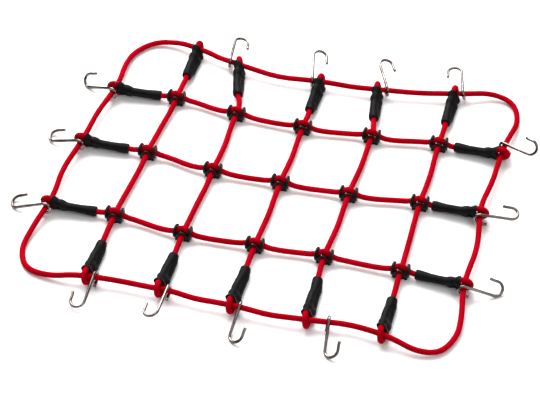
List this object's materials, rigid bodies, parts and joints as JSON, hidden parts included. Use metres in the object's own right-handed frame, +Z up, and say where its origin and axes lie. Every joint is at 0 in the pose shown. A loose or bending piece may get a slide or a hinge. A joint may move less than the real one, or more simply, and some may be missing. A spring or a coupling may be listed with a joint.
{
  "type": "elastic luggage net",
  "caption": "Rectangular net of red elastic cord with clipped crossings, sleeved end loops and swinging wire S-hooks round its border.",
  "frame": {"origin": "on the floor under the middle crossing clip, the centre of the net", "axes": "+X along the long cords, +Y along the short cords towards the net's back edge, +Z up from the floor"},
  "size_m": [0.2098, 0.1777, 0.0132],
  "materials": {
    "red_cord": "smooth, finely sheathed elastic cord",
    "clip_plastic": "semi-gloss moulded black",
    "sleeve_rubber": "satin black shrunk tube",
    "crimp_steel": "plain",
    "hook_wire": "bright nickel-plated wire"
  },
  "bodies": {
    "net": {"border_cord": "red_cord", "long_cord_0": "red_cord", "long_cord_1": "red_cord", "long_cord_2": "red_cord", "short_cord_0": "red_cord", "short_cord_1": "red_cord", "short_cord_2": "red_cord", "short_cord_3": "red_cord", "short_cord_4": "red_cord", "cross_clip_0_0": "clip_plastic", "cross_clip_1_0": "clip_plastic", "cross_clip_2_0": "clip_plastic", "cross_clip_3_0": "clip_plastic", "cross_clip_4_0": "clip_plastic", "cross_clip_0_1": "clip_plastic", "cross_clip_1_1": "clip_plastic", "cross_clip_2_1": "clip_plastic", "cross_clip_3_1": "clip_plastic", "cross_clip_4_1": "clip_plastic", "cross_clip_0_2": "clip_plastic", "cross_clip_1_2": "clip_plastic", "cross_clip_2_2": "clip_plastic", "cross_clip_3_2": "clip_plastic", "cross_clip_4_2": "clip_plastic", "end_sleeve_left_0": "sleeve_rubber", "end_sleeve_left_1": "sleeve_rubber", "end_sleeve_left_2": "sleeve_rubber", "end_sleeve_right_0": "sleeve_rubber", "end_sleeve_right_1": "sleeve_rubber", "end_sleeve_right_2": "sleeve_rubber", "end_sleeve_front_0": "sleeve_rubber", "end_sleeve_front_1": "sleeve_rubber", "end_sleeve_front_2": "sleeve_rubber", "end_sleeve_front_3": "sleeve_rubber", "end_sleeve_front_4": "sleeve_rubber", "end_sleeve_back_0": "sleeve_rubber", "end_sleeve_back_1": "sleeve_rubber", "end_sleeve_back_2": "sleeve_rubber", "end_sleeve_back_3": "sleeve_rubber", "end_sleeve_back_4": "sleeve_rubber", "end_crimps": "crimp_steel"},
    "hook_back_1": {"hook_back_1": "hook_wire"},
    "hook_back_2": {"hook_back_2": "hook_wire"},
    "hook_back_3": {"hook_back_3": "hook_wire"},
    "hook_back_4": {"hook_back_4": "hook_wire"},
    "hook_right_2": {"hook_right_2": "hook_wire"},
    "hook_right_1": {"hook_right_1": "hook_wire"},
    "hook_right_0": {"hook_right_0": "hook_wire"},
    "hook_front_3": {"hook_front_3": "hook_wire"},
    "hook_front_2": {"hook_front_2": "hook_wire"},
    "hook_front_1": {"hook_front_1": "hook_wire"},
    "hook_front_0": {"hook_front_0": "hook_wire"},
    "hook_left_0": {"hook_left_0": "hook_wire"},
    "hook_left_1": {"hook_left_1": "hook_wire"},
    "hook_left_2": {"hook_left_2": "hook_wire"}
  },
  "joints": [
    {"name": "swing_back_1", "type": "hinge", "parent": "net", "child": "hook_back_1", "pos_m": [-0.04111, 0.06562, 0.00406], "axis": [0.9758, -0.2151, 0.0401], "range_deg": [-35, 100]},
    {"name": "swing_back_2", "type": "hinge", "parent": "net", "child": "hook_back_2", "pos_m": [-0.00299, 0.06331, 0.00407], "axis": [0.9968, 0.0772, 0.0193], "range_deg": [-35, 100]},
    {"name": "swing_back_3", "type": "hinge", "parent": "net", "child": "hook_back_3", "pos_m": [0.03016, 0.06597, 0.00407], "axis": [0.9881, 0.1532, -0.0158], "range_deg": [-35, 100]},
    {"name": "swing_back_4", "type": "hinge", "parent": "net", "child": "hook_back_4", "pos_m": [0.06313, 0.07288, 0.00402], "axis": [0.947, 0.3177, -0.0468], "range_deg": [-35, 100]},
    {"name": "swing_right_2", "type": "hinge", "parent": "net", "child": "hook_right_2", "pos_m": [0.08691, 0.04479, 0.00406], "axis": [-0.0754, -0.9966, 0.0334], "range_deg": [-35, 100]},
    {"name": "swing_right_1", "type": "hinge", "parent": "net", "child": "hook_right_1", "pos_m": [0.08564, 0.00044, 0.00408], "axis": [0.1429, -0.9897, -0.0119], "range_deg": [-35, 100]},
    {"name": "swing_right_0", "type": "hinge", "parent": "net", "child": "hook_right_0", "pos_m": [0.08748, -0.04038, 0.004], "axis": [0.1034, -0.9929, -0.0585], "range_deg": [-35, 100]},
    {"name": "swing_front_3", "type": "hinge", "parent": "net", "child": "hook_front_3", "pos_m": [0.0392, -0.07111, 0.00392], "axis": [-0.9845, -0.1698, 0.043], "range_deg": [-35, 100]},
    {"name": "swing_front_2", "type": "hinge", "parent": "net", "child": "hook_front_2", "pos_m": [0.003, -0.07303, 0.00407], "axis": [-0.9996, 0.0203, 0.0169], "range_deg": [-35, 100]},
    {"name": "swing_front_1", "type": "hinge", "parent": "net", "child": "hook_front_1", "pos_m": [-0.02711, -0.07211, 0.00407], "axis": [-0.9997, 0.0163, 0.0192], "range_deg": [-35, 100]},
    {"name": "swing_front_0", "type": "hinge", "parent": "net", "child": "hook_front_0", "pos_m": [-0.05772, -0.07311, 0.00407], "axis": [-0.9947, -0.1011, 0.0178], "range_deg": [-35, 100]},
    {"name": "swing_left_0", "type": "hinge", "parent": "net", "child": "hook_left_0", "pos_m": [-0.09038, -0.04176, 0.00398], "axis": [0.1408, 0.9875, 0.0702], "range_deg": [-35, 100]},
    {"name": "swing_left_1", "type": "hinge", "parent": "net", "child": "hook_left_1", "pos_m": [-0.08887, -0.00238, 0.00408], "axis": [0.1097, 0.9939, 0.0126], "range_deg": [-35, 100]},
    {"name": "swing_left_2", "type": "hinge", "parent": "net", "child": "hook_left_2", "pos_m": [-0.08545, 0.03223, 0.00407], "axis": [0.1374, 0.9904, 0.015], "range_deg": [-35, 100]}
  ]
}
